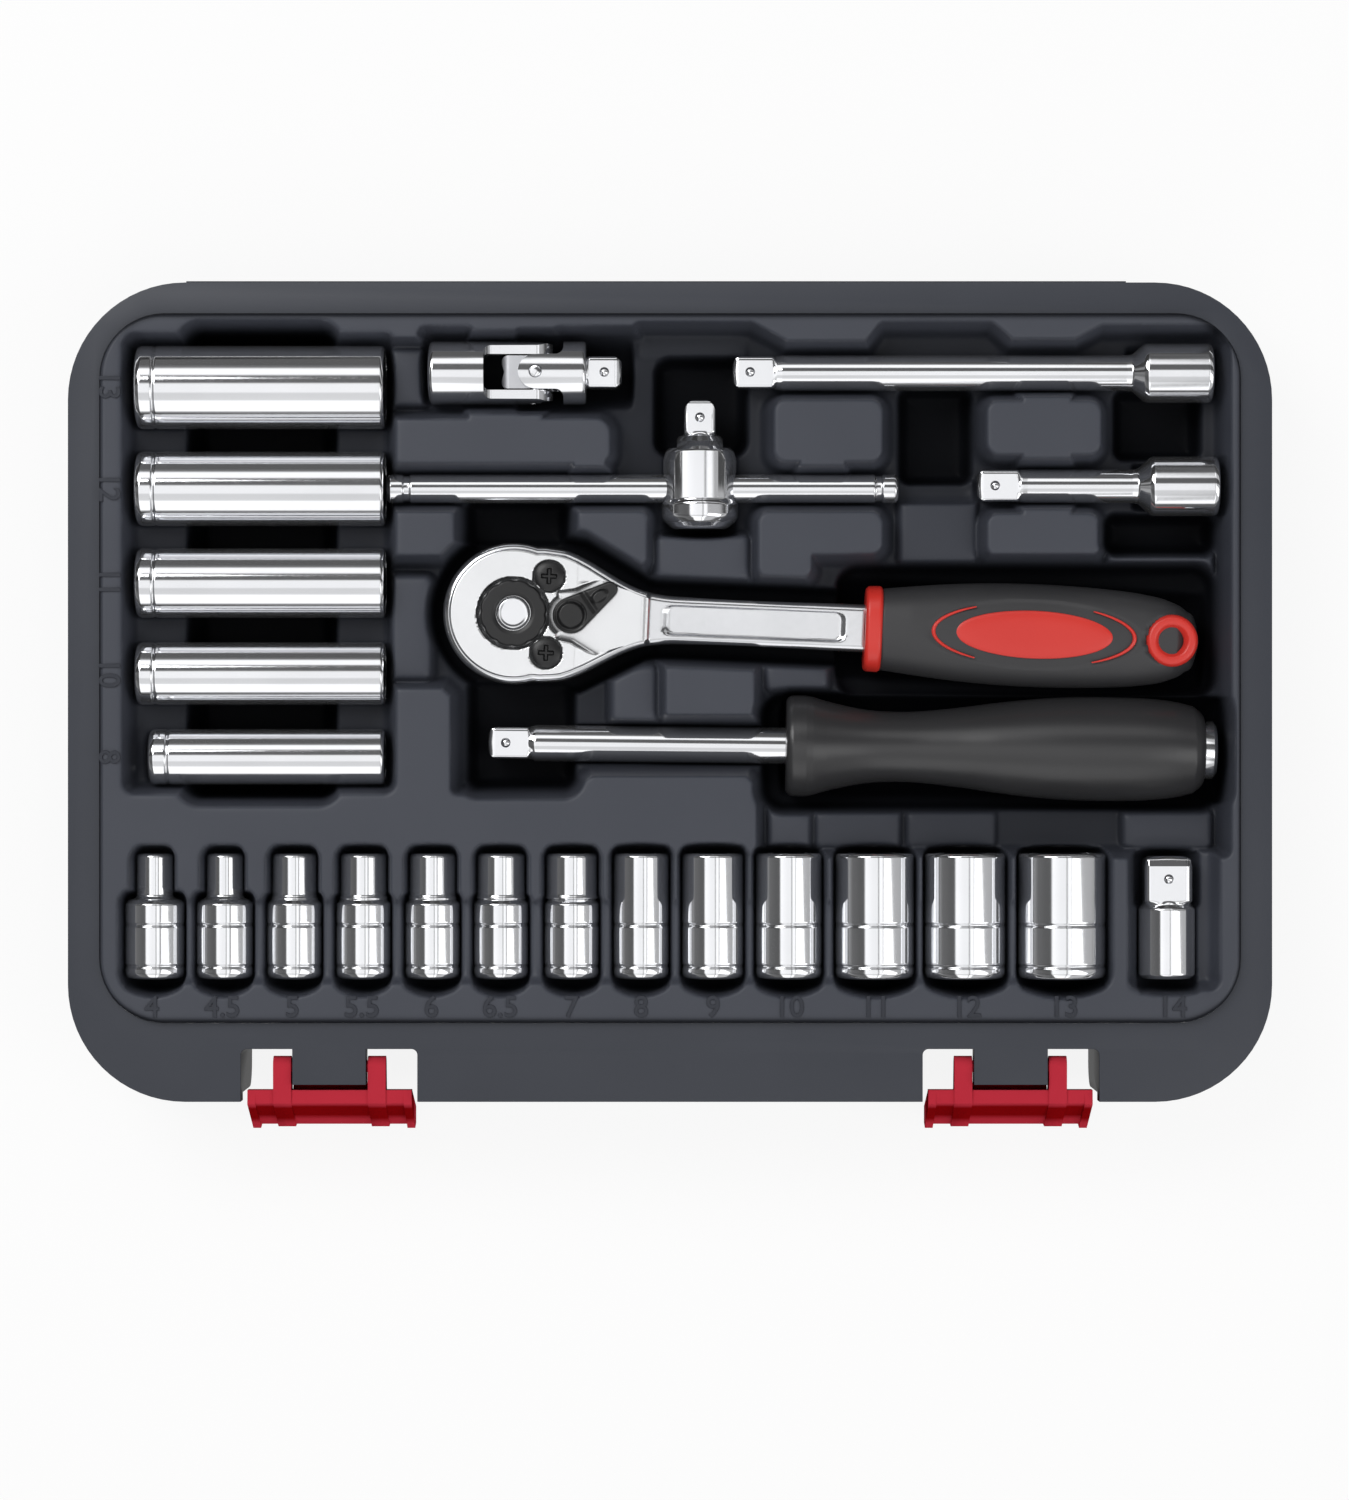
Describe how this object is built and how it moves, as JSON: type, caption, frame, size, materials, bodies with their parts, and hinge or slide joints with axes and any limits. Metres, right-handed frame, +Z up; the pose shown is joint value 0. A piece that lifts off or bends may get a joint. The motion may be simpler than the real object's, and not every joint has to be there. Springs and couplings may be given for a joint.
{
  "type": "socket wrench set in case",
  "caption": "Quarter-inch drive socket set: sockets, ratchet, spinner handle, extensions, sliding tee and universal joint in a moulded tray with two latches.",
  "frame": {"origin": "centre of the case's underside, on the surface it stands on", "axes": "+X along the case to the right, +Y to the back edge, +Z up out of the tray"},
  "size_m": [0.2416, 0.1712, 0.0318],
  "materials": {
    "case_plastic": "fine moulded grain, dark blue-grey",
    "latch_plastic": "smooth red",
    "black_steel": "blackened",
    "black_lever": "satin black",
    "handle_red": "satin red",
    "handle_grey": "soft dark grey overmould",
    "spinner_plastic": "satin dark grey",
    "tool_steel": "machined, oiled",
    "spring_steel": "drawn wire",
    "plate_chrome": "bright chrome",
    "satin_chrome": "polished chrome",
    "chrome": "mirror chrome"
  },
  "bodies": {
    "case": {"case_shell": "case_plastic", "socket_bed": "case_plastic", "deep_socket_bed": "case_plastic", "extension_bed": "case_plastic", "handle_bed": "case_plastic"},
    "latch_l": {"latch_left": "latch_plastic"},
    "latch_r": {"latch_right": "latch_plastic"},
    "ratchet": {"ratchet_body": "satin_chrome", "cover_plate": "plate_chrome", "cover_screws": "black_steel", "handle_core": "handle_red", "handle_grip": "handle_grey"},
    "lever": {"direction_lever": "black_lever", "lever_plunger": "spring_steel", "lever_spring": "spring_steel"},
    "pawl": {"pawl": "tool_steel"},
    "gear": {"drive_gear": "tool_steel", "dial_ring": "black_steel", "button_spring": "spring_steel", "gear_ball": "chrome"},
    "button": {"release_button": "chrome"},
    "universal_joint": {"joint_socket_yoke": "chrome", "joint_cross_pin": "chrome"},
    "joint_centre": {"joint_block": "tool_steel"},
    "joint_drive_end": {"joint_drive_yoke": "chrome", "joint_stub_pins": "chrome", "joint_ball": "chrome"},
    "sliding_tee": {"tee_head": "chrome", "tee_ball": "chrome", "tee_bar_ball": "chrome"},
    "bar": {"tee_bar": "chrome"},
    "long_ext": {"long_extension": "chrome", "long_extension_ball": "chrome"},
    "short_ext": {"short_extension": "chrome", "short_extension_ball": "chrome"},
    "spinner": {"spinner_shaft": "chrome", "spinner_grip": "spinner_plastic", "spinner_end_socket": "chrome", "spinner_ball": "chrome"},
    "adaptor": {"drive_adaptor": "chrome", "adaptor_ball": "chrome"},
    "deep_13": {"deep_socket_13": "chrome"},
    "deep_12": {"deep_socket_12": "chrome"},
    "deep_11": {"deep_socket_11": "chrome"},
    "deep_10": {"deep_socket_10": "chrome"},
    "deep_8": {"deep_socket_8": "chrome"},
    "std_4": {"socket_4": "chrome"},
    "std_4_5": {"socket_4_5": "chrome"},
    "std_5": {"socket_5": "chrome"},
    "std_5_5": {"socket_5_5": "chrome"},
    "std_6": {"socket_6": "chrome"},
    "std_6_5": {"socket_6_5": "chrome"},
    "std_7": {"socket_7": "chrome"},
    "std_8": {"socket_8": "chrome"},
    "std_9": {"socket_9": "chrome"},
    "std_10": {"socket_10": "chrome"},
    "std_11": {"socket_11": "chrome"},
    "std_12": {"socket_12": "chrome"},
    "std_13": {"socket_13": "chrome"}
  },
  "joints": [
    {"name": "latch_l_swing", "type": "hinge", "parent": "case", "child": "latch_l", "pos_m": [-0.0684, -0.0752, 0.0243], "axis": [-1, 0, 0], "range_deg": [0, 105]},
    {"name": "latch_r_swing", "type": "hinge", "parent": "case", "child": "latch_r", "pos_m": [0.0684, -0.0752, 0.0243], "axis": [-1, 0, 0], "range_deg": [0, 105]},
    {"name": "ratchet_lift", "type": "slide", "parent": "case", "child": "ratchet", "axis": [0, 0, 1], "range_m": [0, 0.06]},
    {"name": "lever_swing", "type": "hinge", "parent": "ratchet", "child": "lever", "pos_m": [-0.01991, 0.01541, 0.0145], "axis": [0, 0, 1], "range_deg": [-72, 0]},
    {"name": "pawl_rock", "type": "hinge", "parent": "ratchet", "child": "pawl", "pos_m": [-0.01991, 0.01541, 0.0145], "axis": [0, 0, 1], "range_deg": [-16, 0]},
    {"name": "gear_spin", "type": "hinge", "parent": "ratchet", "child": "gear", "pos_m": [-0.0315, 0.0159, 0.0145], "axis": [0, 0, 1], "continuous": true},
    {"name": "button_press", "type": "slide", "parent": "gear", "child": "button", "axis": [0, 0, -1], "range_m": [0, 0.0012], "stiffness_N_per_m": 400, "springref_m": -0.001, "deforming": ["button_spring"]},
    {"name": "universal_joint_lift", "type": "slide", "parent": "case", "child": "universal_joint", "axis": [0, 0, 1], "range_m": [0, 0.06]},
    {"name": "joint_pitch", "type": "hinge", "parent": "universal_joint", "child": "joint_centre", "pos_m": [-0.027, 0.0643, 0.023], "axis": [0, -1, 0], "range_deg": [0, 65]},
    {"name": "joint_yaw", "type": "hinge", "parent": "joint_centre", "child": "joint_drive_end", "pos_m": [-0.027, 0.0643, 0.023], "axis": [0, 0, 1], "range_deg": [-4, 4]},
    {"name": "sliding_tee_lift", "type": "slide", "parent": "case", "child": "sliding_tee", "axis": [0, 0, 1], "range_m": [0, 0.06]},
    {"name": "bar_slide", "type": "slide", "parent": "sliding_tee", "child": "bar", "axis": [1, 0, 0], "range_m": [0, 0.015]},
    {"name": "long_ext_lift", "type": "slide", "parent": "case", "child": "long_ext", "axis": [0, 0, 1], "range_m": [0, 0.06]},
    {"name": "short_ext_lift", "type": "slide", "parent": "case", "child": "short_ext", "axis": [0, 0, 1], "range_m": [0, 0.06]},
    {"name": "spinner_lift", "type": "slide", "parent": "case", "child": "spinner", "axis": [0, 0, 1], "range_m": [0, 0.06]},
    {"name": "adaptor_lift", "type": "slide", "parent": "case", "child": "adaptor", "axis": [0, 0, 1], "range_m": [0, 0.06]},
    {"name": "deep_13_lift", "type": "slide", "parent": "case", "child": "deep_13", "axis": [0, 0, 1], "range_m": [0, 0.06]},
    {"name": "deep_12_lift", "type": "slide", "parent": "case", "child": "deep_12", "axis": [0, 0, 1], "range_m": [0, 0.06]},
    {"name": "deep_11_lift", "type": "slide", "parent": "case", "child": "deep_11", "axis": [0, 0, 1], "range_m": [0, 0.06]},
    {"name": "deep_10_lift", "type": "slide", "parent": "case", "child": "deep_10", "axis": [0, 0, 1], "range_m": [0, 0.06]},
    {"name": "deep_8_lift", "type": "slide", "parent": "case", "child": "deep_8", "axis": [0, 0, 1], "range_m": [0, 0.06]},
    {"name": "std_4_lift", "type": "slide", "parent": "case", "child": "std_4", "axis": [0, 0, 1], "range_m": [0, 0.06]},
    {"name": "std_4_5_lift", "type": "slide", "parent": "case", "child": "std_4_5", "axis": [0, 0, 1], "range_m": [0, 0.06]},
    {"name": "std_5_lift", "type": "slide", "parent": "case", "child": "std_5", "axis": [0, 0, 1], "range_m": [0, 0.06]},
    {"name": "std_5_5_lift", "type": "slide", "parent": "case", "child": "std_5_5", "axis": [0, 0, 1], "range_m": [0, 0.06]},
    {"name": "std_6_lift", "type": "slide", "parent": "case", "child": "std_6", "axis": [0, 0, 1], "range_m": [0, 0.06]},
    {"name": "std_6_5_lift", "type": "slide", "parent": "case", "child": "std_6_5", "axis": [0, 0, 1], "range_m": [0, 0.06]},
    {"name": "std_7_lift", "type": "slide", "parent": "case", "child": "std_7", "axis": [0, 0, 1], "range_m": [0, 0.06]},
    {"name": "std_8_lift", "type": "slide", "parent": "case", "child": "std_8", "axis": [0, 0, 1], "range_m": [0, 0.06]},
    {"name": "std_9_lift", "type": "slide", "parent": "case", "child": "std_9", "axis": [0, 0, 1], "range_m": [0, 0.06]},
    {"name": "std_10_lift", "type": "slide", "parent": "case", "child": "std_10", "axis": [0, 0, 1], "range_m": [0, 0.06]},
    {"name": "std_11_lift", "type": "slide", "parent": "case", "child": "std_11", "axis": [0, 0, 1], "range_m": [0, 0.06]},
    {"name": "std_12_lift", "type": "slide", "parent": "case", "child": "std_12", "axis": [0, 0, 1], "range_m": [0, 0.06]},
    {"name": "std_13_lift", "type": "slide", "parent": "case", "child": "std_13", "axis": [0, 0, 1], "range_m": [0, 0.06]}
  ],
  "couplings": [
    {"joint": "pawl_rock", "follows": "lever_swing", "ratio": 0.22222}
  ]
}
